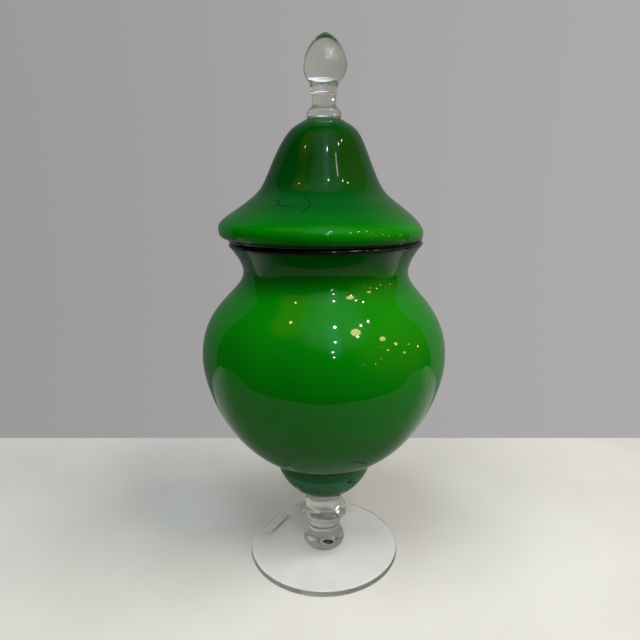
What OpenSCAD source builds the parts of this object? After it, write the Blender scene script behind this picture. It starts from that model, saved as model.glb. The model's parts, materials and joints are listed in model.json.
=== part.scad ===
// Tall covered jar in cased glass: a clear foot and stem, a round green bowl lined in white,
// and a bell-shaped lid with a clear finial. The lid lifts straight off.
// Millimetres. The origin is on the table under the middle of the foot, and +Z is up.

/* [Foot] */
// Diameter of the foot
foot_d = 101.4; // [94:0.2:112]
// Thickness of the foot at its rounded edge
foot_edge_t = 3.6; // [3.2:0.1:4.4]
// Height of the foot where it starts to rise into the stem
foot_crown_z = 5.2; // [4.8:0.1:5.8]
// Inner diameter of the flat ring that the foot rests on
rest_ring_d = 84; // [76:1:88]
// Hollow under the middle of the foot
foot_hollow = 1.4; // [0.5:0.1:1.8]

/* [Stem] */
// Diameter of the lower knob where it meets the foot
knob_d = 27.8; // [25:0.2:30]
// Diameter of the waist between knob and knop
waist_d = 21.6; // [18:0.2:23]
// Diameter of the ring-shaped upper knop
knop_d = 32.6; // [30:0.2:36]
// Diameter of the stem under the bowl
stem_top_d = 24; // [22:0.2:26]
// Height of the knob's seat on the foot
boss_z = 6.6; // [6.4:0.1:7]
// Height of the waist
waist_z = 19; // [18:0.5:20]
// Height of the widest part of the knop
knop_z = 30.3; // [29:0.1:31]
// Height of the top of the stem
stem_top_z = 46; // [45:0.5:47]

/* [Bowl] */
// Largest diameter of the bowl
bowl_d = 152.4; // [142:0.2:158]
// Height of the bowl's widest part
belly_z = 143; // [140:1:146]
// Height of the outside of the bowl's round bottom
bowl_bottom_z = 65.5; // [65:0.5:68]
// Diameter of the thick cup under the bowl
cup_d = 60.4; // [59:0.2:62]
// Diameter of the bowl's neck
neck_d = 101.2; // [98:0.2:106]
// Height of the narrowest part of the neck
neck_z = 196; // [194:0.5:198]
// Diameter of the middle of the rolled lip
lip_d = 114; // [112:0.2:115]
// Height of the top of the rolled lip, which the lid sits on
rim_z = 214; // [212:0.5:216]

/* [Lid] */
// Diameter of the lid's brim
lid_d = 123; // [122:0.2:130]
// Height of the lid from its seat to the flat top under the finial
lid_h = 69.7; // [66:0.1:74]
// Diameter of the lid's lower edge
seat_d = 116; // [115:0.2:118]
// Outer diameter of the flange that keeps the lid in the mouth
flange_d = 100; // [92:0.2:101]
// How far the flange reaches into the mouth
flange_depth = 8; // [5:0.5:9]

/* [Finial] */
// Height of the finial above the lid
finial_h = 46.3; // [42:0.1:50]
// Diameter of the collar under the finial
collar_d = 20; // [18:0.2:22]
// Diameter of the finial's neck
finial_neck_d = 14; // [12:0.2:15]
// Diameter of the egg-shaped bulb
bulb_d = 24.9; // [22:0.1:27]

/* [Glass] */
// Thickness of the green casing at the brim and the mouth
casing_t = 1.5; // [1.3:0.1:1.6]
// Thickness of the green casing at the bowl's bottom and the lid's top
casing_thick_t = 3; // [2:0.1:3.4]
// Thickness of the white lining
lining_t = 1.4; // [1:0.1:1.4]
// Thickness of the lid's flange
flange_t = 2.8; // [2:0.1:3]

/* [Label] */
// Length of the blank label on the foot
label_l = 24; // [18:1:28]
// Width of the blank label
label_w = 7.5; // [6:0.5:9]
// Thickness of the label
label_t = 0.15; // [0.1:0.05:0.3]

/* [Hidden] */
$fn = 96;
// Points along each curve, and along the small roundings
STEPS = 10;
ROUND_STEPS = 6;
// Index of the point on the bowl's outside where the cup begins
CUP_JOINT = 2;
// Gap that keeps the lid's solids clear of the lip
seat_gap = 0.1;
// Roundings of the foot's edge and of the rolled lip
edge_round = 1.4;
lip_round = 1.7;
// Rise of the bowl's mouth at the lip, in degrees
flare_angle = 54;
// Middle of the label: its distance from the axis, and its turn about the axis
label_r = 41.4;
label_turn = 151;
// Handle lengths of the bowl's curves, which set how full each stretch is
bottom_pull = 0.77;
belly_pull_down = 19.5;
belly_pull_up = 33;
neck_pull_down = 13.5;
neck_pull_up = 5.5;
lip_pull = 5;
// Handle lengths of the stem's curves
knob_pull = 4;
waist_pull = 5.5;
knop_pull = 2;
knop_neck_pull = 3.5;
cup_pull = 4;
// Heights of the lid's edge and of its brim above the edge
lid_edge_h = 1.1;
brim_h = 5.2;
// How far the flange's ring rises inside the lid's edge
seat_rise = 1.2;

foot_r = foot_d / 2;
knob_r = knob_d / 2;
waist_r = waist_d / 2;
knop_r = knop_d / 2;
stem_top_r = stem_top_d / 2;
bowl_r = bowl_d / 2;
cup_r = cup_d / 2;
neck_r = neck_d / 2;
lid_r = lid_d / 2;
seat_r = seat_d / 2;
flange_r = flange_d / 2;
collar_r = collar_d / 2;
finial_neck_r = finial_neck_d / 2;
bulb_r = bulb_d / 2;
wall_t = casing_t + lining_t;
boss_r = knob_r + 0.2;
crown_r = boss_r + 3;
knop_top_z = knop_z + 8.7;
cup_side_z = stem_top_z + 20;
seat_z = rim_z + seat_gap;
lid_lip_z = seat_z + lid_edge_h;
brim_z = lid_lip_z + brim_h;
lid_top_z = seat_z + lid_h;
collar_top_z = lid_top_z + 0.15 * finial_h;
finial_neck_z = lid_top_z + 0.3 * finial_h;
bulb_base_z = lid_top_z + 0.44 * finial_h;
bulb_z = lid_top_z + 0.615 * finial_h;
finial_top_z = lid_top_z + finial_h;
bulb_base_r = 0.7 * bulb_r;

// ---- curves ----

// Point and direction of a cubic curve with control points p, at t from 0 to 1
function curve_point(p, t) =
    (1 - t) ^ 3 * p[0] + 3 * (1 - t) ^ 2 * t * p[1] + 3 * (1 - t) * t ^ 2 * p[2] + t ^ 3 * p[3];
function curve_slope(p, t) =
    (1 - t) ^ 2 * (p[1] - p[0]) + 2 * (1 - t) * t * (p[2] - p[1]) + t ^ 2 * (p[3] - p[2]);

// Points along one curve
function curve(p, steps = STEPS) = [for (i = [0 : steps]) curve_point(p, i / steps)];

// Points on an arc about c
function arc(c, r, from, to, steps = STEPS) =
    [for (i = [0 : steps]) let (a = from + (to - from) * i / steps) c + r * [cos(a), sin(a)]];

// Points along a chain of curves, moved to their left by a depth that runs from t0 to t1
function chain(curves, t0 = 0, t1 = 0) = [
    for (k = [0 : len(curves) - 1], i = [k == 0 ? 0 : 1 : STEPS])
        let (t = i / STEPS)
        let (s = (k + t) / len(curves))
        let (d = curve_slope(curves[k], t))
        curve_point(curves[k], t) + (t0 + (t1 - t0) * s) * [-d[1], d[0]] / norm(d)
];

function reverse(points) = [for (i = [len(points) - 1 : -1 : 0]) points[i]];
function first(points, count) = [for (i = [0 : count - 1]) points[i]];

// ---- outlines that neighbouring pieces share ----

// Rolled lip: an arc whose chord is the cut end of the bowl's wall
lip_half_gap = acos(wall_t / 2 / lip_round);
lip_centre = [lip_d / 2, rim_z - lip_round];
lip_from = flare_angle - 90 - lip_half_gap;
lip_to = flare_angle + 90 + lip_half_gap;
lip_start = lip_centre + lip_round * [cos(lip_from), sin(lip_from)];

// Outside of the bowl, from the middle of its bottom up to the rolled lip
flare_dir = [cos(flare_angle), sin(flare_angle)];
bowl_curves = [
    [[0, bowl_bottom_z], [bottom_pull * bowl_r, bowl_bottom_z],
     [bowl_r, belly_z - belly_pull_down], [bowl_r, belly_z]],
    [[bowl_r, belly_z], [bowl_r, belly_z + belly_pull_up],
     [neck_r, neck_z - neck_pull_down], [neck_r, neck_z]],
    [[neck_r, neck_z], [neck_r, neck_z + neck_pull_up],
     lip_start - lip_pull * flare_dir, lip_start]
];
bowl_outside = chain(bowl_curves);
bowl_between = chain(bowl_curves, casing_thick_t, casing_t);
bowl_inside = chain(bowl_curves, casing_thick_t + lining_t, wall_t);

// Outside of the lid: under the brim, then over it, up the slope and the bell to the flat top
slope_top = [0.732 * lid_r, brim_z + 16.3];
bell_foot = [0.486 * lid_r, lid_top_z - 25.7];
brim_curve = [
    [seat_r, lid_lip_z], [seat_r, lid_lip_z + 2], [lid_r, brim_z - 3], [lid_r, brim_z]
];
lid_curves = [
    [[lid_r, brim_z], [lid_r, brim_z + 4.7], [0.913 * lid_r, brim_z + 8], slope_top],
    [slope_top, [0.59 * lid_r, brim_z + 22.8], [0.58 * lid_r, brim_z + 24.4], bell_foot],
    [bell_foot, [0.335 * lid_r, lid_top_z - 3.7], [0.31 * lid_r, lid_top_z - 5.6],
     [collar_r, lid_top_z]]
];
lid_outside = concat(chain([brim_curve]), chain(lid_curves), [[0, lid_top_z]]);
lid_between = concat(
    [[seat_r - casing_t, lid_lip_z]],
    chain(lid_curves, casing_t, casing_thick_t)
);
lid_inside = concat(
    [[seat_r - wall_t, lid_lip_z]],
    chain(lid_curves, wall_t, casing_thick_t + lining_t)
);

// Height of the foot's sloping top at radius r
foot_flat_r = foot_r - edge_round;
function foot_top(r) =
    foot_edge_t + (foot_crown_z - foot_edge_t) * (foot_flat_r - r) / (foot_flat_r - crown_r);

module turned(outline) {
    rotate_extrude()
        polygon(outline);
}

// ---- foot and stem, clear glass ----

module foot() {
    color("gainsboro", 0.45)
        turned(concat(
            [[0, foot_hollow], [rest_ring_d / 2, 0]],
            arc([foot_flat_r, edge_round], edge_round, -90, 0, ROUND_STEPS),
            arc([foot_flat_r, foot_edge_t - edge_round], edge_round, 0, 90, ROUND_STEPS),
            curve([[crown_r, foot_crown_z], [boss_r + 1, foot_crown_z + 0.1],
                   [boss_r, foot_crown_z + 0.6], [boss_r, boss_z]], ROUND_STEPS),
            [[0, boss_z]]
        ));
}

// A blank sticker laid on the sloping top of the foot
module foot_label() {
    inner = label_r - label_w;
    outer = label_r + label_w;
    color("ivory", 0.8)
        intersection() {
            turned([
                [inner, foot_top(inner)], [outer, foot_top(outer)],
                [outer, foot_top(outer) + label_t], [inner, foot_top(inner) + label_t]
            ]);
            rotate(label_turn)
                translate([label_r - label_w / 2, -label_l / 2, 0])
                    cube([label_w, label_l, boss_z]);
        }
}

module stem_lower_knob() {
    color("gainsboro", 0.45)
        turned(concat(
            [[0, boss_z]],
            curve([[knob_r, boss_z], [knob_r + 0.9, boss_z + knob_pull],
                   [waist_r, waist_z - waist_pull], [waist_r, waist_z]]),
            [[0, waist_z]]
        ));
}

module stem_upper_knop() {
    color("gainsboro", 0.45)
        turned(concat(
            [[0, waist_z]],
            curve([[waist_r, waist_z], [waist_r, waist_z + waist_pull],
                   [knop_r, knop_z - knop_pull], [knop_r, knop_z]]),
            curve([[knop_r, knop_z], [knop_r, knop_z + knop_pull],
                   [stem_top_r, knop_top_z - knop_neck_pull], [stem_top_r, knop_top_z]]),
            [[stem_top_r, stem_top_z], [0, stem_top_z]]
        ));
}

// ---- bowl ----

// The thick green glass under the bowl, which the bowl sits in
module bowl_cup() {
    color("darkslategray")
        turned(concat(
            [[0, stem_top_z]],
            curve([[stem_top_r, stem_top_z], [stem_top_r + 10.8, stem_top_z + 2.5],
                   [cup_r, cup_side_z - cup_pull], [cup_r, cup_side_z]]),
            reverse(first(bowl_outside, CUP_JOINT + 1))
        ));
}

module bowl_casing() {
    color("forestgreen")
        turned(concat(bowl_outside, reverse(bowl_between)));
}

module bowl_lining() {
    color("honeydew")
        turned(concat(bowl_between, reverse(bowl_inside)));
}

// The rolled lip of unlined green glass
module bowl_lip() {
    last = len(bowl_between) - 1;
    color("darkgreen")
        turned(concat(
            arc(lip_centre, lip_round, lip_from, lip_to, 16),
            [bowl_between[last]]
        ));
}

// ---- lid ----

module lid_casing() {
    color("forestgreen")
        turned(concat(lid_outside, [[0, lid_top_z - casing_thick_t]], reverse(lid_between)));
}

module lid_lining() {
    color("honeydew")
        turned(concat(
            lid_between,
            [[0, lid_top_z - casing_thick_t], [0, lid_top_z - casing_thick_t - lining_t]],
            reverse(lid_inside)
        ));
}

// The lid's lower edge, which sits on the lip, with the flange that hangs in the mouth
module lid_flange() {
    bore_r = flange_r - flange_t;
    tip_r = flange_t / 2;
    color("darkgreen")
        turned(concat(
            [[seat_r, seat_z], [seat_r, lid_lip_z], [seat_r - wall_t, lid_lip_z],
             [seat_r - wall_t, lid_lip_z + seat_rise], [bore_r, lid_lip_z + seat_rise]],
            arc([bore_r + tip_r, rim_z - flange_depth + tip_r], tip_r, 180, 360, 8),
            [[flange_r, seat_z]]
        ));
}

// ---- finial, clear glass ----

module finial_collar() {
    shoulder_z = lid_top_z + 0.06 * finial_h;
    step_z = collar_top_z - 1.2;
    step_r = finial_neck_r + 0.5;
    color("gainsboro", 0.45)
        turned(concat(
            [[0, lid_top_z], [collar_r, lid_top_z]],
            curve([[collar_r, shoulder_z], [collar_r, shoulder_z + 1.6],
                   [collar_r - 0.4, step_z - 1], [collar_r - 1.4, step_z - 0.3]], ROUND_STEPS),
            [[step_r, step_z], [step_r, collar_top_z], [0, collar_top_z]]
        ));
}

module finial_neck() {
    color("gainsboro", 0.45)
        turned(concat(
            [[0, collar_top_z], [finial_neck_r, collar_top_z], [finial_neck_r, finial_neck_z]],
            curve([[finial_neck_r + 0.5, finial_neck_z + 0.3],
                   [finial_neck_r + 0.5, finial_neck_z + 2.6],
                   [bulb_base_r - 0.4, bulb_base_z - 2], [bulb_base_r, bulb_base_z]], ROUND_STEPS),
            [[0, bulb_base_z]]
        ));
}

// Egg-shaped, with a blunt point at the top
module finial_bulb() {
    color("gainsboro", 0.45)
        turned(concat(
            [[0, bulb_base_z]],
            curve([[bulb_base_r, bulb_base_z], [bulb_base_r + 1.6, bulb_base_z + 0.5],
                   [bulb_r, bulb_z - 3.5], [bulb_r, bulb_z]]),
            curve([[bulb_r, bulb_z], [bulb_r, bulb_z + 4.9], [0.68 * bulb_r, finial_top_z - 2.8],
                   [0, finial_top_z]], 14)
        ));
}

foot();
foot_label();
stem_lower_knob();
stem_upper_knop();
bowl_cup();
bowl_casing();
bowl_lining();
bowl_lip();
lid_casing();
lid_lining();
lid_flange();
finial_collar();
finial_neck();
finial_bulb();
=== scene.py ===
import json
import math
import random

import bpy
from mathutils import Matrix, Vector, noise

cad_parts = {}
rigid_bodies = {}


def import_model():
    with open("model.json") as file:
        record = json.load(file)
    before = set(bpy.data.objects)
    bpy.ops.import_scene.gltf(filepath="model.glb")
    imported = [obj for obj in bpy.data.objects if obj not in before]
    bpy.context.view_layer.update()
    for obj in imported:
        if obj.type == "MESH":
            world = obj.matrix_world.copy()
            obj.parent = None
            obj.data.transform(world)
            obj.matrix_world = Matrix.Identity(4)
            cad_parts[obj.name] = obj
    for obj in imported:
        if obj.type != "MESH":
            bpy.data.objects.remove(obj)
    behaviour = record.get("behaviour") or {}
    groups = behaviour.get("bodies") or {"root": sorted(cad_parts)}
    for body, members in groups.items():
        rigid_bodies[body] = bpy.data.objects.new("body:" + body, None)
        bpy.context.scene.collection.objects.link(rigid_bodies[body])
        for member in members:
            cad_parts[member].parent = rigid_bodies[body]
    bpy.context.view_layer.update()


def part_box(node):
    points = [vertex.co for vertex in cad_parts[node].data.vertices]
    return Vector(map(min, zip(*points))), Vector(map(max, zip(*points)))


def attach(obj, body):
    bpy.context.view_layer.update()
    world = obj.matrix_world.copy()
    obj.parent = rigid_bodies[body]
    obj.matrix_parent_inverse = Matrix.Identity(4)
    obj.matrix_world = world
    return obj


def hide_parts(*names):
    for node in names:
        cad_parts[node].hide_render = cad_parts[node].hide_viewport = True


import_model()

MM = 0.001
TURN = 2 * math.pi
SEGMENTS = 256
CURVE_STEPS = 28
random.seed(11)


# ---- sizes, in millimetres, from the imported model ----

def extent(node):
    """Largest radius, lowest height and highest height of a turned CAD node."""
    low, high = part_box(node)
    return (high.x - low.x) / 2 / MM, low.z / MM, high.z / MM


foot_r, _, boss_z = extent("foot")
knob_r, _, waist_z = extent("stem_lower_knob")
knop_r, _, stem_top_z = extent("stem_upper_knop")
cup_r, _, cup_edge_z = extent("bowl_cup")
bowl_r, bowl_bottom_z, _ = extent("bowl_casing")
lip_outer_r, _, rim_z = extent("bowl_lip")
seat_r, flange_tip_z, ring_top_z = extent("lid_flange")
brim_r, lid_edge_z, lid_top_z = extent("lid_casing")
collar_r, _, collar_top_z = extent("finial_collar")
bulb_base_r, _, bulb_base_z = extent("finial_neck")
bulb_r, _, finial_top_z = extent("finial_bulb")

# Foot: thickness and rounding at the edge, height of the crown, inner radius of the ring that it
# stands on, depth of the hollow inside that ring
EDGE_T = 3.6
EDGE_ROUND = 1.4
CROWN_Z = 5.2
REST_R = 42
FOOT_HOLLOW = 1.4
# Small bubbles near the front edge of the foot: their number, and the least and largest azimuth in
# degrees, distance from the axis, height and radius
SEEDS = 9
SEED_AZIMUTHS = (-30, 50)
SEED_PLACES = (33, 47)
SEED_HEIGHTS = (1.7, 2.6)
SEED_SIZES = (0.2, 0.4)
# Stem: radius of the waist, height where the knop is widest, radius under the cup
WAIST_R = 10.8
KNOP_Z = 30.3
STEM_R = 12
# Cup: how far its side rises from the stem to its widest place
CUP_RISE = 20
# Bowl: height where it is widest, radius and height of the neck, rounding and slope of the lip
BELLY_Z = 143
NECK_R = 50.6
NECK_Z = 196
LIP_ROUND = 1.5
FLARE = math.radians(54)
# Lid: radius and thickness of the flange, thickness of the ring that sits on the lip, rise of the
# brim to its widest, height where the slope has turned into the bell
FLANGE_R = 50
FLANGE_T = 2.8
RING_T = 2.3
BRIM_RISE = 5.2
BELL_Z = 258
# Walls: the green casing where it is thin and where it is thick, and the white lining
CASING_T = 1.5
CASING_THICK_T = 3.0
LINING_T = 1.4
FINIAL_NECK_R = 7.0
# How far clear glass runs into the green glass it was fused to
FUSED = 0.4
# The label on the foot: size, gap under it, and at its ends the rounding's length, the share of
# the width that it takes off, and how far the corners curl up
LABEL_LENGTH = 24
LABEL_WIDTH = 7.5
LABEL_T = 0.16
LABEL_GAP = 0.02
LABEL_CORNER = 1.2
LABEL_NARROWING = 0.16
LABEL_CURL = 0.12
# Points along the curve that turns under the brim
BRIM_STEPS = 16

boss_r = knob_r + 0.2
crown_r = boss_r + 3
tuck_r = knob_r - 1.5
knob_z = boss_z + 3
knop_top_z = KNOP_Z + 8.7
lip_centre = (lip_outer_r - LIP_ROUND, rim_z - LIP_ROUND)
brim_z = lid_edge_z + BRIM_RISE
flat_r = foot_r - EDGE_ROUND
bulb_z = bulb_base_z + 0.313 * (finial_top_z - bulb_base_z)
neck_top_z = collar_top_z + 0.52 * (bulb_base_z - collar_top_z)


# ---- outlines ----

def bezier(p, steps=CURVE_STEPS):
    """Points along a cubic curve."""
    points = []
    for i in range(steps + 1):
        t = i / steps
        w = ((1 - t) ** 3, 3 * (1 - t) ** 2 * t, 3 * (1 - t) * t ** 2, t ** 3)
        points.append(tuple(sum(w[k] * p[k][axis] for k in range(4)) for axis in (0, 1)))
    return points


def arc(centre, radius, start, end, steps=12):
    """Points on an arc; angles in degrees, from the outward direction towards up."""
    points = []
    for i in range(steps + 1):
        a = math.radians(start + (end - start) * i / steps)
        points.append((centre[0] + radius * math.cos(a), centre[1] + radius * math.sin(a)))
    return points


def line(a, b, steps):
    """Evenly spaced points from a to b."""
    return [(a[0] + (b[0] - a[0]) * i / steps, a[1] + (b[1] - a[1]) * i / steps)
            for i in range(steps + 1)]


def join(*stretches):
    """One outline from stretches that meet, without repeated points."""
    points = []
    for stretch in stretches:
        for p in stretch:
            if not points or math.dist(p, points[-1]) > 1e-4:
                points.append(p)
    return points


def inward(points, start_t, end_t):
    """The points moved to their left by a depth that runs from start_t to end_t."""
    moved = []
    last = len(points) - 1
    for i, (r, z) in enumerate(points):
        before = points[max(i - 1, 0)]
        after = points[min(i + 1, last)]
        dr, dz = after[0] - before[0], after[1] - before[1]
        depth = (start_t + (end_t - start_t) * i / last) / math.hypot(dr, dz)
        moved.append((max(r - dz * depth, 0), z + dr * depth))
    return moved


def bowl_outside():
    """From the middle of the round bottom up to the lip."""
    # The flare runs into the roll of the lip a little way round it
    meeting = math.degrees(FLARE) - 90 - 31.5
    lip_start = arc(lip_centre, LIP_ROUND, meeting, 0, 1)[0]
    lead = (lip_start[0] - 5 * math.cos(FLARE), lip_start[1] - 5 * math.sin(FLARE))
    return join(
        bezier([(0, bowl_bottom_z), (0.77 * bowl_r, bowl_bottom_z),
                (bowl_r, BELLY_Z - 19.5), (bowl_r, BELLY_Z)], 60),
        bezier([(bowl_r, BELLY_Z), (bowl_r, BELLY_Z + 33), (NECK_R, NECK_Z - 13.5), (NECK_R, NECK_Z)], 48),
        bezier([(NECK_R, NECK_Z), (NECK_R, NECK_Z + 5.5), lead, lip_start], 24),
    )


def lid_outside():
    """From the seat out under the brim, up the slope and the bell, and in to the axis."""
    slope_top = (0.732 * brim_r, brim_z + 16.3)
    bell_foot = (0.486 * brim_r, lid_top_z - 25.7)
    return join(
        bezier([(seat_r, lid_edge_z), (seat_r + 2.6, lid_edge_z + 0.6),
                (brim_r, brim_z - 2.9), (brim_r, brim_z)], BRIM_STEPS),
        bezier([(brim_r, brim_z), (brim_r, brim_z + 4.7), (0.913 * brim_r, brim_z + 8), slope_top], 32),
        bezier([slope_top, (0.59 * brim_r, brim_z + 22.8), (0.58 * brim_r, brim_z + 24.4), bell_foot], 32),
        bezier([bell_foot, (0.335 * brim_r, lid_top_z - 3.7), (0.31 * brim_r, lid_top_z - 5.6),
                (collar_r, lid_top_z)], 40),
        [(0, lid_top_z)],
    )


# ---- how the hand-made shapes lean ----

def between(z, stations):
    """Smoothly joined values at given heights."""
    if z <= stations[0][0]:
        return stations[0][1]
    for (z0, v0), (z1, v1) in zip(stations, stations[1:]):
        if z <= z1:
            t = (z - z0) / (z1 - z0)
            return v0 + (v1 - v0) * t * t * (3 - 2 * t)
    return stations[-1][1]


# Sideways shifts, the slopes of tilts and the stem's ripple, each as (height, value)
BOWL_SHIFT = ((BELLY_Z + 20, 0), (NECK_Z, 1.1))
LID_SHIFT = (
    (lid_edge_z, 0), (lid_edge_z + 2.4, -1.8), (brim_z, -1.8), (BELL_Z, -1.3), (lid_top_z, 0),
    (bulb_base_z, 0.2), (bulb_z, 0.8),
)
BRIM_TILT = ((lid_edge_z, 0), (brim_z, math.tan(math.radians(1.4))), (brim_z + 16, 0))
LIP_TILT = ((NECK_Z, 0), (rim_z - 4, math.tan(math.radians(0.65))))
STEM_RIPPLE = ((boss_z, 0), (boss_z + 4, 0.03), (stem_top_z - 5, 0.03), (stem_top_z, 0))


def waviness(x, y, z, amount, scale):
    """A slow ripple in hand-blown glass."""
    return amount * noise.noise(Vector((x / scale, y / scale, z / scale + 7.3)))


def bowl_lean(x, y, z):
    """The mouth sits a little to the right and rises to the right."""
    k = 1 + waviness(x, y, z, 0.0016, 24)
    rise = x * between(z, LIP_TILT)
    return x * k + between(z, BOWL_SHIFT), y * k, z + rise


def lid_lean(x, y, z):
    """The brim sits a little to the left and dips to the right."""
    k = 1 + waviness(x, y, z, 0.003, 16)
    rise = -x * between(z, BRIM_TILT)
    return x * k + between(z, LID_SHIFT), y * k, z + rise


def stem_lean(x, y, z):
    """The stem stands straight, with an uneven surface."""
    k = 1 + waviness(x, y, z, between(z, STEM_RIPPLE), 5.5)
    return x * k, y * k, z


def finial_lean(x, y, z):
    """The finial goes with the lid, with an uneven surface."""
    k = 1 + waviness(x, y, z, 0.012, 6)
    return lid_lean(x * k, y * k, z)


def straight(x, y, z):
    """No lean."""
    return x, y, z


# ---- meshes ----

def build(name, verts, faces, material, body, nodes):
    """A smooth mesh in metres that rides on a body and stands for CAD nodes."""
    mesh = bpy.data.meshes.new(name)
    mesh.from_pydata([(x * MM, y * MM, z * MM) for x, y, z in verts], [], faces)
    mesh.validate()
    mesh.shade_smooth()
    mesh.set_sharp_from_angle(angle=math.radians(40))
    mesh.materials.append(material)
    obj = bpy.data.objects.new(name, mesh)
    bpy.context.scene.collection.objects.link(obj)
    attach(obj, body)
    if nodes:
        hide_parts(*nodes)


def turn(outline, lean, closed=False):
    """Vertices and faces of an outline of (radius, height) turned about the axis."""
    verts = []
    faces = []
    rows = []
    for r, z in outline:
        first = len(verts)
        if r < 1e-6:
            verts.append(lean(0, 0, z))
            rows.append([first] * SEGMENTS)
            continue
        for s in range(SEGMENTS):
            a = TURN * s / SEGMENTS
            verts.append(lean(r * math.sin(a), -r * math.cos(a), z))
        rows.append(range(first, first + SEGMENTS))
    pairs = list(zip(rows, rows[1:]))
    if closed:
        pairs.append((rows[-1], rows[0]))
    for low, high in pairs:
        for s in range(SEGMENTS):
            n = (s + 1) % SEGMENTS
            corners = []
            for v in (low[s], low[n], high[n], high[s]):
                if v not in corners:
                    corners.append(v)
            if len(corners) > 2:
                faces.append(corners)
    return verts, faces


def turned(name, outline, lean, material, body, nodes, closed=False):
    """A piece that is an outline turned about the axis."""
    verts, faces = turn(outline, lean, closed)
    build(name, verts, faces, material, body, nodes)


# ---- materials ----

class Shader:
    """A material and short ways to add nodes to it."""

    def __init__(self, name):
        self.material = bpy.data.materials.new(name)
        self.material.use_nodes = True
        self.tree = self.material.node_tree
        self.principled = self.tree.nodes["Principled BSDF"]
        coordinates = self.tree.nodes.new("ShaderNodeTexCoord")
        self.place = coordinates.outputs["Object"]

    def node(self, kind, **values):
        """A new node with some of its properties set."""
        made = self.tree.nodes.new(kind)
        for key, value in values.items():
            setattr(made, key, value)
        return made

    def link(self, output, node, socket):
        """Joins an output to an input of a node."""
        self.tree.links.new(output, node.inputs[socket])

    def set(self, socket, value):
        """Sets a constant on the shader's own socket."""
        self.principled.inputs[socket].default_value = value

    def noise(self, scale, detail, stretch=(1, 1, 1)):
        """Mottling that sits still on the piece, from 0 to 1."""
        mapping = self.node("ShaderNodeMapping")
        mapping.inputs["Scale"].default_value = stretch
        self.link(self.place, mapping, "Vector")
        made = self.node("ShaderNodeTexNoise")
        made.inputs["Scale"].default_value = scale
        made.inputs["Detail"].default_value = detail
        self.link(mapping.outputs["Vector"], made, "Vector")
        return made.outputs["Fac"]

    def ramp(self, factor, stops):
        """A smooth run of colours at the given positions."""
        made = self.node("ShaderNodeValToRGB")
        made.color_ramp.interpolation = "EASE"
        elements = made.color_ramp.elements
        while len(elements) < len(stops):
            elements.new(0.5)
        for element, (position, colour) in zip(elements, stops):
            element.position = position
            element.color = (*colour, 1)
        self.link(factor, made, "Fac")
        return made.outputs["Color"]

    def height(self, low, high):
        """0 at height low and 1 at height high, in millimetres."""
        parts = self.node("ShaderNodeSeparateXYZ")
        self.link(self.place, parts, "Vector")
        made = self.node("ShaderNodeMapRange")
        made.inputs["From Min"].default_value = low * MM
        made.inputs["From Max"].default_value = high * MM
        self.link(parts.outputs["Z"], made, "Value")
        return made.outputs["Result"]

    def remap(self, factor, low, high):
        """Stretches 0 to 1 into low to high."""
        made = self.node("ShaderNodeMapRange")
        made.inputs["To Min"].default_value = low
        made.inputs["To Max"].default_value = high
        self.link(factor, made, "Value")
        return made.outputs["Result"]

    def mix(self, factor, a, b, blend="MIX"):
        """Two colours blended by a factor."""
        made = self.node("ShaderNodeMix", data_type="RGBA", blend_type=blend)
        for value, index in ((factor, 0), (a, 6), (b, 7)):
            if isinstance(value, bpy.types.NodeSocket):
                self.tree.links.new(value, made.inputs[index])
            else:
                made.inputs[index].default_value = value
        return made.outputs[2]

    def bump(self, height, strength, distance):
        """A slight unevenness of the gloss."""
        made = self.node("ShaderNodeBump")
        made.inputs["Strength"].default_value = strength
        made.inputs["Distance"].default_value = distance
        self.link(height, made, "Height")
        self.link(made.outputs["Normal"], self.principled, "Normal")


def green_glass(name, low, high, stops, ior):
    """Green casing over white, in tones that change with the height and hold painted shade as well."""
    shader = Shader(name)
    tone = shader.ramp(shader.height(low, high), stops)
    streaks = shader.remap(shader.noise(38, 2, (1, 1, 0.35)), 0.86, 1.12)
    shade = shader.node("ShaderNodeCombineColor")
    for channel in ("Red", "Green", "Blue"):
        shader.link(streaks, shade, channel)
    colour = shader.mix(1.0, tone, shade.outputs["Color"], "MULTIPLY")
    shader.link(colour, shader.principled, "Base Color")
    smudges = shader.remap(shader.noise(45, 5), 0.025, 0.085)
    shader.link(smudges, shader.principled, "Roughness")
    shader.set("IOR", ior)
    shader.bump(shader.noise(70, 2, (1, 1, 0.6)), 0.04, 0.0006)
    return shader.material


def dark_glass(name, low, high, ior=1.52):
    """Thick green glass whose tone drifts between two colours."""
    shader = Shader(name)
    tone = shader.ramp(shader.noise(60, 3), [(0.3, low), (0.7, high)])
    shader.link(tone, shader.principled, "Base Color")
    shader.link(shader.remap(shader.noise(70, 4), 0.02, 0.07), shader.principled, "Roughness")
    shader.set("IOR", ior)
    shader.bump(shader.noise(120, 2), 0.06, 0.0005)
    return shader.material


def cup_glass():
    """Solid green glass, darker towards the stem: painted shade under the bowl."""
    shader = Shader("cup_green_glass")
    tone = shader.ramp(shader.height(stem_top_z, cup_edge_z), [
        (0.0, (0.005, 0.04, 0.014)), (0.45, (0.014, 0.1, 0.036)), (1.0, (0.055, 0.235, 0.1)),
    ])
    shader.link(tone, shader.principled, "Base Color")
    shader.link(shader.remap(shader.noise(70, 4), 0.05, 0.14), shader.principled, "Roughness")
    shader.set("IOR", 1.4)
    shader.bump(shader.noise(120, 2), 0.06, 0.0005)
    return shader.material


def white_glass():
    """Opaque white glass for the linings."""
    shader = Shader("white_opal_glass")
    tone = shader.ramp(shader.noise(35, 4), [(0.3, (0.74, 0.8, 0.73)), (0.7, (0.84, 0.88, 0.82))])
    shader.link(tone, shader.principled, "Base Color")
    shader.link(shader.remap(shader.noise(50, 4), 0.05, 0.16), shader.principled, "Roughness")
    shader.set("IOR", 1.5)
    shader.bump(shader.noise(80, 2), 0.06, 0.0005)
    return shader.material


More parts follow.
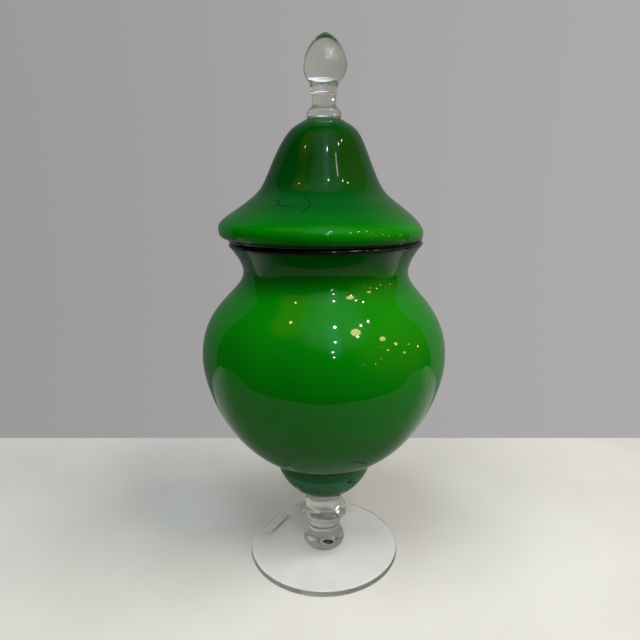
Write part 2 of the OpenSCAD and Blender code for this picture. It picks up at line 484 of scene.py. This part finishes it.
def clear_glass():
    """Clear, very slightly grey glass; the grey also darkens the table seen through the foot, as painted
    shade.
    """
    shader = Shader("clear_glass")
    tone = shader.ramp(shader.noise(30, 2), [(0.3, (0.89, 0.91, 0.9)), (0.7, (0.915, 0.93, 0.92))])
    shader.link(tone, shader.principled, "Base Color")
    shader.link(shader.remap(shader.noise(60, 4), 0.0, 0.012), shader.principled, "Roughness")
    shader.set("IOR", 1.5)
    shader.set("Transmission Weight", 1.0)
    shader.bump(shader.noise(110, 2), 0.05, 0.0004)
    return shader.material


def label_paper():
    """Matt pale paper."""
    shader = Shader("blank_label")
    tone = shader.ramp(shader.noise(300, 4), [(0.3, (0.76, 0.78, 0.72)), (0.7, (0.84, 0.85, 0.79))])
    shader.link(tone, shader.principled, "Base Color")
    shader.link(shader.remap(shader.noise(500, 3), 0.35, 0.6), shader.principled, "Roughness")
    shader.bump(shader.noise(900, 3), 0.2, 0.0001)
    return shader.material


# ---- the jar ----

def foot_top(r):
    """Height of the foot's sloping top."""
    return EDGE_T + (CROWN_Z - EDGE_T) * (flat_r - r) / (flat_r - crown_r)


def tool_rings(r):
    """Height of the faint rings that the tool left, two sets of them, fading out at edge and crown."""
    fade = min(1, (flat_r - r) / 4, (r - crown_r) / 2)
    return fade * (0.028 * math.sin(3.3 * r) + 0.02 * math.sin(7.1 * r + 1))


def seed(centre, radius):
    """A bubble in the glass: a small closed shell that faces inwards."""
    rows, columns = 6, 10
    verts = []
    for i in range(rows + 1):
        for j in range(columns):
            a, b = math.pi * i / rows, TURN * j / columns
            step = Vector((math.sin(a) * math.cos(b), math.sin(a) * math.sin(b), 0.7 * math.cos(a)))
            verts.append(tuple(Vector(centre) + radius * step))
            if i in (0, rows):
                break
    faces = []
    ring = [[0] * columns] + [[1 + columns * i + j for j in range(columns)] for i in range(rows - 1)]
    ring.append([len(verts) - 1] * columns)
    for low, high in zip(ring, ring[1:]):
        for j in range(columns):
            n = (j + 1) % columns
            corners = []
            for v in (low[n], low[j], high[j], high[n]):
                if v not in corners:
                    corners.append(v)
            faces.append(tuple(reversed(corners)))
    return verts, faces


def foot_and_stem(material):
    """Foot, knob and knop, which were fused hot into one run of clear glass."""
    outline = join(
        [(0, FOOT_HOLLOW)],
        line((2, FOOT_HOLLOW), (REST_R - 4, 0.12), 30),
        bezier([(REST_R - 4, 0.12), (REST_R - 2, 0.03), (REST_R - 1, 0), (REST_R + 1, 0)], 6),
        arc((flat_r, EDGE_ROUND), EDGE_ROUND, -90, 0),
        arc((flat_r, EDGE_T - EDGE_ROUND), EDGE_ROUND, 0, 90),
        [(r, foot_top(r) + tool_rings(r)) for r, _ in line((flat_r - 0.3, 0), (crown_r + 0.1, 0), 150)],
        bezier([(crown_r, CROWN_Z), (boss_r, CROWN_Z + 0.1), (tuck_r + 0.6, CROWN_Z + 0.2),
                (tuck_r, boss_z - 0.6)], 10),
        bezier([(tuck_r, boss_z - 0.6), (knob_r + 0.3, boss_z - 0.2), (knob_r, boss_z + 2),
                (knob_r, knob_z)], 12),
        bezier([(knob_r, knob_z), (knob_r, boss_z + 6.5), (WAIST_R, waist_z - 4.5), (WAIST_R, waist_z)]),
        bezier([(WAIST_R, waist_z), (WAIST_R, waist_z + 5.5), (knop_r, KNOP_Z - 2), (knop_r, KNOP_Z)]),
        bezier([(knop_r, KNOP_Z), (knop_r, KNOP_Z + 2), (STEM_R, knop_top_z - 3.5), (STEM_R, knop_top_z)]),
        line((STEM_R, knop_top_z), (STEM_R, stem_top_z + FUSED), 6),
        [(0, stem_top_z + FUSED)],
    )
    nodes = ("foot", "stem_lower_knob", "stem_upper_knop")
    verts, faces = turn(outline, stem_lean)
    for _ in range(SEEDS):
        a, r = math.radians(random.uniform(*SEED_AZIMUTHS)), random.uniform(*SEED_PLACES)
        centre = (r * math.sin(a), -r * math.cos(a), random.uniform(*SEED_HEIGHTS))
        more_verts, more_faces = seed(centre, random.uniform(*SEED_SIZES))
        faces += [tuple(v + len(verts) for v in face) for face in more_faces]
        verts += more_verts
    build("foot_and_stem", verts, faces, material, "jar", nodes)


def label(material):
    """A blank sticker with rounded corners that follows the slope of the foot."""
    low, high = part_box("foot_label")
    middle = (low + high) / 2 / MM
    turn_angle = math.atan2(middle.y, middle.x)
    rows, columns = 10, 28
    verts = []
    for side in (1, 0):
        for i in range(rows + 1):
            for j in range(columns + 1):
                u = (i / rows - 0.5) * LABEL_WIDTH
                v = (j / columns - 0.5) * LABEL_LENGTH
                corner = max(0, abs(v) - (LABEL_LENGTH / 2 - LABEL_CORNER)) / LABEL_CORNER
                u *= 1 - LABEL_NARROWING * corner ** 2
                r = math.hypot(middle.xy.length + u, v)
                curl = LABEL_CURL * corner ** 2
                x = (middle.xy.length + u) * math.cos(turn_angle) - v * math.sin(turn_angle)
                y = (middle.xy.length + u) * math.sin(turn_angle) + v * math.cos(turn_angle)
                verts.append((x, y, foot_top(r) + LABEL_GAP + side * LABEL_T + curl))
    faces = []
    layer = (rows + 1) * (columns + 1)
    for i in range(rows):
        for j in range(columns):
            a = i * (columns + 1) + j
            quad = (a, a + 1, a + columns + 2, a + columns + 1)
            faces.append(tuple(reversed(quad)))
            faces.append(tuple(v + layer for v in quad))
    rim = list(range(columns))
    rim += [i * (columns + 1) + columns for i in range(rows)]
    rim += [rows * (columns + 1) + columns - j for j in range(columns)]
    rim += [(rows - i) * (columns + 1) for i in range(rows)]
    for k, a in enumerate(rim):
        b = rim[(k + 1) % len(rim)]
        faces.append((a, b, b + layer, a + layer))
    build("foot_label_blank", verts, faces, material, "jar", ("foot_label",))


def cup_outside():
    """From the stem up to the cup's widest place."""
    return bezier([(STEM_R, stem_top_z), (STEM_R + 10.8, stem_top_z + 2.5),
                   (cup_r, stem_top_z + CUP_RISE - 4), (cup_r, stem_top_z + CUP_RISE)])


def cup(material, outside):
    """The solid cup, whose top is the underside of the bowl."""
    covered = sum(1 for r, z in outside if z <= cup_edge_z and r <= cup_r + 1)
    outline = join(
        [(0, stem_top_z)],
        line((2, stem_top_z), (STEM_R, stem_top_z), 6),
        cup_outside(),
        reversed(outside[:covered]),
    )
    turned("bowl_cup_glass", outline, straight, material, "jar", ("bowl_cup",))


def bowl(casing, lining, outside):
    """The green casing and the white lining inside it."""
    between_walls = inward(outside, CASING_THICK_T, CASING_T)
    inside = inward(outside, CASING_THICK_T + LINING_T, CASING_T + LINING_T)
    turned("bowl_casing_glass", join(outside, reversed(between_walls)), bowl_lean, casing,
           "jar", ("bowl_casing",))
    turned("bowl_lining_glass", join(between_walls, reversed(inside)), bowl_lean, lining,
           "jar", ("bowl_lining",))


def lip(material):
    """The rolled edge of the bowl."""
    outline = arc(lip_centre, LIP_ROUND, 0, 360, 32)[:-1]
    turned("bowl_lip_glass", outline, bowl_lean, material,
           "jar", ("bowl_lip",), True)


def lid(casing, lining, dark):
    """The green casing, the white lining, and the seat with the flange that hangs in the mouth."""
    outside = lid_outside()
    over_brim = outside[BRIM_STEPS:-1]
    walls = [(seat_r - CASING_T, lid_edge_z)] + inward(over_brim, CASING_T, CASING_THICK_T)
    inside = [(seat_r - CASING_T - LINING_T, lid_edge_z)]
    inside += inward(over_brim, CASING_T + LINING_T, CASING_THICK_T + LINING_T)
    walls_top = [(0, walls[-1][1])]
    inside_top = [(0, inside[-1][1])]
    turned("lid_casing_glass", join(outside, walls_top, reversed(walls)), lid_lean, casing,
           "lid", ("lid_casing",), True)
    turned("lid_lining_glass", join(walls, walls_top, inside_top, reversed(inside)), lid_lean, lining,
           "lid", ("lid_lining",), True)
    seat_z = ring_top_z - RING_T
    bore_r = FLANGE_R - FLANGE_T
    step_r = seat_r - CASING_T - LINING_T
    outline = join(
        bezier([(seat_r - 1.2, seat_z), (seat_r - 0.4, seat_z), (seat_r - 0.1, seat_z + 0.4),
                (seat_r, lid_edge_z)], 6),
        line((seat_r, lid_edge_z), (step_r, lid_edge_z), 3),
        line((step_r, ring_top_z), (bore_r, ring_top_z), 6),
        arc((bore_r + FLANGE_T / 2, flange_tip_z + FLANGE_T / 2), FLANGE_T / 2, 180, 360, 16),
        [(FLANGE_R, seat_z)],
    )
    turned("lid_flange_glass", outline, straight, dark, "lid", ("lid_flange",), True)


def creases(name, paths, outline, lean, half_width, material, body):
    """Thin dark folds in the glass, as low ridges along paths of (azimuth, height)."""
    verts = []
    faces = []
    sides = 8
    for path in paths:
        centres = smooth_path(path)
        count = len(centres)
        rings = []
        for azimuth, height in centres:
            r, z, nr, nz = surface_at(outline, height)
            a = math.radians(azimuth)
            out = Vector((nr * math.sin(a), -nr * math.cos(a), nz))
            place = Vector((r * math.sin(a), -r * math.cos(a), z))
            rings.append((place, out))
        for i, (place, out) in enumerate(rings):
            ahead = rings[min(i + 1, count - 1)][0] - rings[max(i - 1, 0)][0]
            across = out.cross(ahead).normalized()
            taper = half_width * (0.15 + 0.85 * math.sin(math.pi * i / (count - 1)) ** 0.5)
            for k in range(sides):
                b = TURN * k / sides
                point = place + (math.cos(b) * across + (0.6 * math.sin(b) - 0.1) * out) * taper
                verts.append(lean(*point))
        first = len(verts) - sides * count
        for i in range(count - 1):
            for k in range(sides):
                n = (k + 1) % sides
                a0, a1 = first + sides * i + k, first + sides * i + n
                faces.append((a0, a1, a1 + sides, a0 + sides))
        faces.append(tuple(first + sides - 1 - k for k in range(sides)))
        faces.append(tuple(first + sides * (count - 1) + k for k in range(sides)))
    build(name, verts, faces, material, body, ())


def smooth_path(path, steps=8):
    """A curve through the points of a path."""
    points = []
    for i in range(len(path) - 1):
        before, a = path[max(i - 1, 0)], path[i]
        b, after = path[i + 1], path[min(i + 2, len(path) - 1)]
        for k in range(steps + (i == len(path) - 2)):
            t = k / steps
            point = []
            for axis in (0, 1):
                p0, p1, p2, p3 = before[axis], a[axis], b[axis], after[axis]
                point.append(0.5 * (2 * p1 + (p2 - p0) * t + (2 * p0 - 5 * p1 + 4 * p2 - p3) * t ** 2
                                    + (3 * p1 - p0 - 3 * p2 + p3) * t ** 3))
            points.append(tuple(point))
    return points


def surface_at(outline, height):
    """Radius, height and outward direction of an outline that runs upwards."""
    for (r0, z0), (r1, z1) in zip(outline, outline[1:]):
        if z0 <= height <= z1 and z1 > z0:
            t = (height - z0) / (z1 - z0)
            length = math.dist((r0, z0), (r1, z1))
            return r0 + (r1 - r0) * t, height, (z1 - z0) / length, (r0 - r1) / length
    raise ValueError(f"no surface at height {height}")


def finial(material):
    """Collar, neck and bulb, one run of clear glass."""
    shoulder_z = lid_top_z + 2.8
    step_z = collar_top_z - 1.2
    outline = join(
        [(0, lid_top_z - FUSED)],
        line((2, lid_top_z - FUSED), (collar_r - 1.5, lid_top_z - FUSED), 3),
        bezier([(collar_r - 1.5, lid_top_z + 0.1), (collar_r - 1.4, lid_top_z + 0.7),
                (collar_r, lid_top_z + 0.3), (collar_r, lid_top_z + 1.2)], 10),
        line((collar_r, lid_top_z + 1.4), (collar_r, shoulder_z), 4),
        bezier([(collar_r, shoulder_z), (collar_r, shoulder_z + 1.6), (collar_r - 0.4, step_z - 1),
                (collar_r - 1.4, step_z - 0.3)], 10),
        bezier([(collar_r - 1.4, step_z - 0.3), (FINIAL_NECK_R + 1, step_z - 0.1),
                (FINIAL_NECK_R + 0.6, step_z), (FINIAL_NECK_R + 0.5, collar_top_z - 0.3)], 6),
        bezier([(FINIAL_NECK_R + 0.5, collar_top_z - 0.3), (FINIAL_NECK_R + 0.45, collar_top_z),
                (FINIAL_NECK_R, collar_top_z), (FINIAL_NECK_R, collar_top_z + 0.5)], 5),
        line((FINIAL_NECK_R, collar_top_z + 0.5), (FINIAL_NECK_R, neck_top_z - 0.4), 8),
        bezier([(FINIAL_NECK_R, neck_top_z - 0.4), (FINIAL_NECK_R + 0.5, neck_top_z),
                (FINIAL_NECK_R + 0.5, neck_top_z + 0.3), (FINIAL_NECK_R + 0.5, neck_top_z + 0.6)], 5),
        bezier([(FINIAL_NECK_R + 0.5, neck_top_z + 0.6), (FINIAL_NECK_R + 0.5, neck_top_z + 2.6),
                (bulb_base_r - 0.4, bulb_base_z - 2), (bulb_base_r, bulb_base_z)], 12),
        bezier([(bulb_base_r, bulb_base_z), (bulb_base_r + 1.6, bulb_base_z + 0.5), (bulb_r, bulb_z - 3.5),
                (bulb_r, bulb_z)]),
        bezier([(bulb_r, bulb_z), (bulb_r, bulb_z + 4.9), (0.68 * bulb_r, finial_top_z - 2.8),
                (0, finial_top_z)], 40),
    )
    nodes = ("finial_collar", "finial_neck", "finial_bulb")
    turned("finial_glass", outline, finial_lean, material, "lid", nodes)


# ---- studio ----

# The camera's angle below the horizontal, in degrees
CAMERA_DIP = 13.655
# The table as the glass mirrors it: in full shade in front of one place, in metres, and in a share
# of that shade behind another
SHADE_FULL_Y = -0.03
SHADE_BACK_Y = 0.12
SHADE_AT_BACK = 0.3
# Distance of the soft lights and their size, distance of the lamps, the place that distances are
# measured from, and the place that the soft lights point at, in metres
SOFT_BOX_DISTANCE = 1.3
SOFT_BOX_SIZE = 0.9
LAMP_DISTANCE = 2.0
JAR_MIDDLE = (0, 0, 0.16)
LIGHT_TARGET = (0, 0, 0.12)
# How much brighter the lamps are for clear glass than for the rest
SPARKLE = 45
# The share of their light there that reaches the table through the foot
THROUGH_FOOT = 0.27
# The elevation, in degrees, that lamps above it are drawn towards for the lid
LID_LAMP_EL = 45
# The largest radius of a lamp that lights the lid, and of one that lights the clear glass
LID_LAMP_R = 0.028
CLEAR_LAMP_R = 0.04
# Bearing of the tall window that leaves an upright streak on the glass
WINDOW = math.radians(12)
WHITE = (1, 0.98, 0.95)
WARM = (1, 0.75, 0.35)
# Azimuth and elevation in degrees, radius in metres, brightness and colour of each lamp
LAMPS = (
    (9, 25, 0.025, 60, WHITE), (8, 32, 0.03, 60, WHITE), (12, 45, 0.035, 60, WHITE),
    (17, 62, 0.035, 60, WHITE), (40, 47, 0.04, 40, WHITE), (54, 56, 0.03, 50, WHITE),
    (67, 55, 0.03, 50, WHITE), (41, 52, 0.14, 13, WARM), (64, 35, 0.09, 12, WARM),
    (73, 24, 0.05, 18, WARM), (62, 21, 0.03, 20, WARM), (77, 12, 0.03, 20, WARM),
    (95, 10, 0.03, 20, WARM), (-57, 60, 0.035, 22, WARM), (52, 14, 0.02, 12, WARM),
    (46, 9, 0.02, 10, WARM), (86, 17, 0.02, 14, WARM), (58, 27, 0.015, 14, WARM),
    (35, 11, 0.015, 10, WHITE),
)


def table():
    """A pale, softly mottled table top. Its front is in shade where the glass mirrors it."""
    shader = Shader("table_top")
    tone = shader.ramp(shader.noise(9, 5), [(0.3, (0.74, 0.735, 0.725)), (0.7, (0.8, 0.797, 0.79))])
    parts = shader.node("ShaderNodeSeparateXYZ")
    shader.link(shader.place, parts, "Vector")
    front = shader.node("ShaderNodeMapRange", interpolation_type="SMOOTHSTEP")
    front.inputs["From Min"].default_value = SHADE_BACK_Y
    front.inputs["From Max"].default_value = SHADE_FULL_Y
    front.inputs["To Min"].default_value = SHADE_AT_BACK
    shader.link(parts.outputs["Y"], front, "Value")
    rays = shader.node("ShaderNodeLightPath")
    mirrored = shader.node("ShaderNodeMath", operation="GREATER_THAN")
    shader.link(rays.outputs["Glossy Depth"], mirrored, 0)
    shade = shader.node("ShaderNodeMath", operation="MULTIPLY")
    shader.link(front.outputs["Result"], shade, 0)
    shader.link(mirrored.outputs["Value"], shade, 1)
    shaded = shader.mix(shade.outputs["Value"], tone, (0.2, 0.205, 0.195, 1))
    shader.link(shaded, shader.principled, "Base Color")
    shader.link(shader.remap(shader.noise(20, 4), 0.45, 0.6), shader.principled, "Roughness")
    mesh = bpy.data.meshes.new("table_top")
    corners = ((-0.8, -0.15), (-0.35, -0.19), (-0.12, -0.26), (0.12, -0.26), (0.35, -0.19), (0.8, -0.15),
               (0.8, 0.168), (-0.8, 0.168))
    mesh.from_pydata([(x, y, -0.15 * MM) for x, y in corners], [], [range(len(corners))])
    mesh.materials.append(shader.material)
    obj = bpy.data.objects.new("table_top", mesh)
    bpy.context.scene.collection.objects.link(obj)


def towards(azimuth, elevation):
    """A step of 1 m in a direction: azimuth 0 is to the front and 90 to the right, in degrees."""
    a, e = math.radians(azimuth), math.radians(elevation)
    return Vector((math.sin(a) * math.cos(e), -math.cos(a) * math.cos(e), math.sin(e)))


def soft_box(name, azimuth, elevation, watts, colour, blockers):
    """A large soft light that gloss doesn't mirror and that passes through clear glass."""
    data = bpy.data.lights.new(name, "AREA")
    data.shape = "DISK"
    data.size = SOFT_BOX_SIZE
    data.energy = watts
    data.color = colour
    obj = bpy.data.objects.new(name, data)
    bpy.context.scene.collection.objects.link(obj)
    obj.location = Vector(JAR_MIDDLE) + SOFT_BOX_DISTANCE * towards(azimuth, elevation)
    view = Vector(LIGHT_TARGET) - obj.location
    obj.rotation_euler = view.to_track_quat("-Z", "Y").to_euler()
    obj.visible_glossy = False
    obj.visible_transmission = False
    obj.visible_camera = False
    obj.light_linking.blocker_collection = blockers


def lamp(name, azimuth, elevation, radius, radiance, colour, receivers):
    """A small round lamp, there for the sparkle it leaves on the glass of one group."""
    data = bpy.data.lights.new(name, "POINT")
    data.shadow_soft_size = radius
    # The power of a sphere that is as bright as asked, whatever its radius
    data.energy = radiance * 4 * math.pi ** 2 * radius ** 2
    data.color = colour
    obj = bpy.data.objects.new(name, data)
    bpy.context.scene.collection.objects.link(obj)
    obj.location = Vector(JAR_MIDDLE) + LAMP_DISTANCE * towards(azimuth, elevation)
    obj.visible_camera = False
    obj.light_linking.receiver_collection = receivers
    return data


def dim_on_table(data):
    """Dims the light that a lamp throws on the table through the clear foot."""
    data.use_nodes = True
    tree = data.node_tree
    rays = tree.nodes.new("ShaderNodeLightPath")
    strength = tree.nodes.new("ShaderNodeMapRange")
    strength.inputs["To Min"].default_value = 1
    strength.inputs["To Max"].default_value = THROUGH_FOOT
    tree.links.new(rays.outputs["Diffuse Depth"], strength.inputs["Value"])
    tree.links.new(strength.outputs["Result"], tree.nodes["Emission"].inputs["Strength"])


def light_groups():
    """Collections for light linking: see-through pieces, and the others as a whole and in parts."""
    names = ("opaque", "below_lid", "lid", "see_through")
    groups = {name: bpy.data.collections.new(name) for name in names}
    for obj in bpy.context.scene.objects:
        if obj.type != "MESH":
            continue
        if obj.name in ("foot_and_stem", "finial_glass"):
            groups["see_through"].objects.link(obj)
            continue
        groups["opaque"].objects.link(obj)
        groups["lid" if obj.name.startswith("lid_") else "below_lid"].objects.link(obj)
    return groups


def lights(groups):
    """Two soft lights, and each lamp three times: for the lid, the clear glass and all the rest."""
    soft_box("key", 66, 48, 10.2, (1, 0.97, 0.93), groups["opaque"])
    soft_box("fill", -32, 62, 9, (0.96, 0.98, 1), groups["opaque"])
    for number, (azimuth, elevation, radius, radiance, colour) in enumerate(LAMPS):
        lamp(f"lamp_{number}", azimuth, elevation, radius, radiance, colour, groups["below_lid"])
        sparkle = lamp(f"sparkle_{number}", azimuth, elevation, min(radius, CLEAR_LAMP_R),
                       SPARKLE * radiance, WHITE, groups["see_through"])
        dim_on_table(sparkle)
        # For the lid, lamps overhead hang lower and large ones are smaller, to place its highlights
        low = min(elevation, (elevation + LID_LAMP_EL) / 2)
        lamp(f"lid_lamp_{number}", azimuth, low, min(radius, LID_LAMP_R), radiance, WHITE, groups["lid"])


class World:
    """The world's nodes and short ways to add to them."""

    def __init__(self):
        made = bpy.data.worlds.new("studio")
        bpy.context.scene.world = made
        made.use_nodes = True
        self.tree = made.node_tree
        self.direction = self.tree.nodes.new("ShaderNodeTexCoord").outputs["Generated"]
        parts = self.tree.nodes.new("ShaderNodeSeparateXYZ")
        self.tree.links.new(self.direction, parts.inputs["Vector"])
        self.x, self.y, self.z = parts.outputs
        self.rays = self.tree.nodes.new("ShaderNodeLightPath").outputs

    def math(self, operation, *values):
        """The result of an operation on outputs or numbers."""
        node = self.tree.nodes.new("ShaderNodeMath")
        node.operation = operation
        for index, value in enumerate(values):
            if isinstance(value, bpy.types.NodeSocket):
                self.tree.links.new(value, node.inputs[index])
            else:
                node.inputs[index].default_value = value
        return node.outputs[0]

    def smooth(self, value, low, high):
        """0 at low and 1 at high, with soft ends."""
        node = self.tree.nodes.new("ShaderNodeMapRange")
        node.interpolation_type = "SMOOTHSTEP"
        self.tree.links.new(value, node.inputs["Value"])
        node.inputs["From Min"].default_value = low
        node.inputs["From Max"].default_value = high
        return node.outputs["Result"]

    def band(self, value, start, full, fade, end):
        """1 between full and fade, and 0 outside start and end."""
        return self.math("MULTIPLY", self.smooth(value, start, full), self.smooth(value, end, fade))

    def glow(self, azimuth, elevation, inner, outer):
        """1 within inner degrees of a bearing, fading to 0 at outer degrees."""
        node = self.tree.nodes.new("ShaderNodeVectorMath")
        node.operation = "DOT_PRODUCT"
        self.tree.links.new(self.direction, node.inputs[0])
        node.inputs[1].default_value = towards(azimuth, elevation)
        low, high = math.cos(math.radians(outer)), math.cos(math.radians(inner))
        return self.smooth(node.outputs["Value"], low, high)

    def mix(self, factor, a, b, blend="MIX"):
        """Two colours blended by a factor."""
        node = self.tree.nodes.new("ShaderNodeMix")
        node.data_type = "RGBA"
        node.blend_type = blend
        for value, index in ((factor, 0), (a, 6), (b, 7)):
            if isinstance(value, bpy.types.NodeSocket):
                self.tree.links.new(value, node.inputs[index])
            else:
                node.inputs[index].default_value = value
        return node.outputs[2]

    def add(self, base, amount, colour):
        """A colour with some of another added."""
        return self.mix(amount, base, colour, "ADD")


def surroundings():
    """A plain grey wall for the camera. Gloss sees a dim room in front and the wall behind, and
    clear glass sees a lighter room and a bright band of wall through itself."""
    made = World()
    side = made.math("ABSOLUTE", made.x)
    behind = made.math("SUBTRACT", made.y, made.math("MULTIPLY", side, 0.4))
    wall_mask = made.smooth(behind, -0.01, 0.03)
    rightwards = made.smooth(made.x, -1, 1)
    backdrop = made.mix(rightwards, (0.31, 0.305, 0.31, 1), (0.44, 0.425, 0.42, 1))

    across = made.math("ADD", made.math("MULTIPLY", made.x, math.cos(WINDOW)),
                       made.math("MULTIPLY", made.y, math.sin(WINDOW)))
    window = made.math("MULTIPLY", made.band(across, -0.13, -0.03, 0.03, 0.13),
                       made.band(made.z, 0.4, 0.56, 0.86, 0.97))
    window = made.math("MULTIPLY", window, made.smooth(made.y, 0.05, -0.1))

    # What gloss mirrors
    wall = made.mix(rightwards, (0.11, 0.125, 0.13, 1), (0.25, 0.25, 0.24, 1))
    wall = made.mix(made.smooth(made.z, 0.6, 1), wall, (0.03, 0.08, 0.12, 1))
    room = made.mix(made.glow(14, 60, 6, 32), (0.02, 0.022, 0.02, 1), (0.42, 0.46, 0.42, 1))
    room = made.add(room, made.glow(75, 25, 5, 50), (0.22, 0.15, 0.02, 1))
    room = made.add(room, made.glow(-58, 58, 4, 18), (0.34, 0.23, 0.01, 1))
    room = made.add(room, window, (0.12, 0.6, 0.6, 1))
    mirrored = made.mix(wall_mask, room, wall)

    # What clear glass shows through itself
    lit_room = made.mix(made.glow(20, 40, 10, 60), (0.15, 0.155, 0.135, 1), (0.3, 0.3, 0.26, 1))
    lit_room = made.add(lit_room, window, (1.6, 1.8, 2.0, 1))
    lit_room = made.add(lit_room, made.glow(75, 25, 5, 40), (0.6, 0.4, 0.12, 1))
    lit_wall = made.mix(1.0, backdrop, (0.93, 0.92, 0.86, 1), "MULTIPLY")
    straight_through = made.math("LESS_THAN", made.rays["Glossy Depth"], 0.5)
    bright = made.math("MULTIPLY", made.band(made.z, 0.49, 0.6, 0.85, 0.95), straight_through)
    bright = made.math("MULTIPLY", bright, made.smooth(made.x, -0.35, 0.15))
    lit_wall = made.add(lit_wall, bright, (0.7, 0.85, 1.05, 1))
    refracted = made.mix(wall_mask, lit_room, lit_wall)

    through_glass = made.math("MULTIPLY", made.rays["Is Transmission Ray"],
                              made.math("LESS_THAN", made.rays["Diffuse Depth"], 0.5))
    seen = made.mix(through_glass, mirrored, refracted)
    seen = made.mix(made.rays["Is Camera Ray"], seen, backdrop)
    made.tree.links.new(seen, made.tree.nodes["Background"].inputs["Color"])


def camera():
    """The camera stands where it did for the photo: a little above the lip, looking slightly down."""
    data = bpy.data.cameras.new("camera")
    data.sensor_width = 36
    data.lens = 30.05
    data.shift_x = -0.0061
    obj = bpy.data.objects.new("camera", data)
    bpy.context.scene.collection.objects.link(obj)
    obj.location = (0, -0.32955, 0.24365)
    obj.rotation_euler = (math.radians(90 - CAMERA_DIP), 0, 0)
    bpy.context.scene.camera = obj


# ---- folds and tones, and the whole scene ----

# Folds in the glass: azimuth in degrees from the front, and height
LID_CREASES = (
    ((-33, 235), (-30, 236.5), (-26, 235.7), (-20, 235.6), (-16, 234.7)),
    ((-35, 238), (-32, 238.2), (-29, 236.6)),
    ((-14, 241), (-11, 240), (-8.5, 238), (-7, 236.5), (-8, 234.8), (-10, 233.3), (-12, 231)),
)
BOWL_CREASES = (
    ((15, 96.5), (18, 94.6), (21, 93.3), (25, 91), (27, 88.5), (28, 85.5)),
)
CUP_CREASES = (
    ((39, 65.9), (34, 65.5), (29, 64.6), (35, 63.8), (41, 62.4), (44, 60.8), (45, 58)),
)
# Half of a fold's width, on the lid, the bowl and the cup
LID_FOLD = 0.26
BOWL_FOLD = 0.55
CUP_FOLD = 0.5
# Tone of the green glass from the bottom (0) to the top (1) of the bowl and of the lid. It is partly the
# glass's own colour and partly painted shade: darker at the bowl's bottom and at its neck under the lip,
# and on the lid darker in the lowest band under the brim, on the slope and over the dome
BOWL_TONE_AND_SHADE = [
    (0.0, (0.001, 0.075, 0.006)), (0.2, (0.001, 0.105, 0.003)), (0.4, (0.001, 0.16, 0.002)),
    (0.6, (0.001, 0.19, 0.001)), (0.8, (0.001, 0.21, 0.001)), (0.88, (0.001, 0.15, 0.001)),
    (1.0, (0.0005, 0.05, 0.001)),
]
LID_TONE_AND_SHADE = [
    (0.0, (0.001, 0.06, 0.002)), (0.03, (0.001, 0.11, 0.002)), (0.055, (0.001, 0.19, 0.001)),
    (0.11, (0.001, 0.22, 0.001)), (0.2, (0.001, 0.13, 0.003)),
    (0.3, (0.001, 0.09, 0.005)), (0.45, (0.0005, 0.062, 0.003)), (0.7, (0.0005, 0.05, 0.001)),
    (1.0, (0.0005, 0.06, 0.002)),
]

clear = clear_glass()
folded = dark_glass("folded_green_glass", (0.0005, 0.012, 0.003), (0.001, 0.022, 0.005), 1.2)
white = white_glass()
bowl_outline = bowl_outside()
foot_and_stem(clear)
label(label_paper())
cup(cup_glass(), bowl_outline)
bowl(green_glass("bowl_green", bowl_bottom_z, rim_z, BOWL_TONE_AND_SHADE, 1.5), white, bowl_outline)
lip(dark_glass("lip_green_glass", (0.0003, 0.004, 0.0015), (0.0006, 0.008, 0.003)))
lid_green = green_glass("lid_green", lid_edge_z, lid_top_z, LID_TONE_AND_SHADE, 1.42)
flange_green = dark_glass("flange_green_glass", (0.0008, 0.03, 0.002), (0.001, 0.05, 0.002))
lid(lid_green, white, flange_green)
creases("lid_crease", LID_CREASES, lid_outside()[BRIM_STEPS + 1:], lid_lean, LID_FOLD, folded, "lid")
creases("bowl_crease", BOWL_CREASES, bowl_outline, bowl_lean, BOWL_FOLD, folded, "jar")
creases("cup_crease", CUP_CREASES, cup_outside(), straight, CUP_FOLD, folded, "jar")
finial(clear)

table()
surroundings()
camera()
lights(light_groups())
scene = bpy.context.scene
scene.view_settings.view_transform = "Standard"
# Light runs a long way inside the thin foot before it gets out
scene.cycles.max_bounces = 32
scene.cycles.glossy_bounces = 24
scene.cycles.transmission_bounces = 24
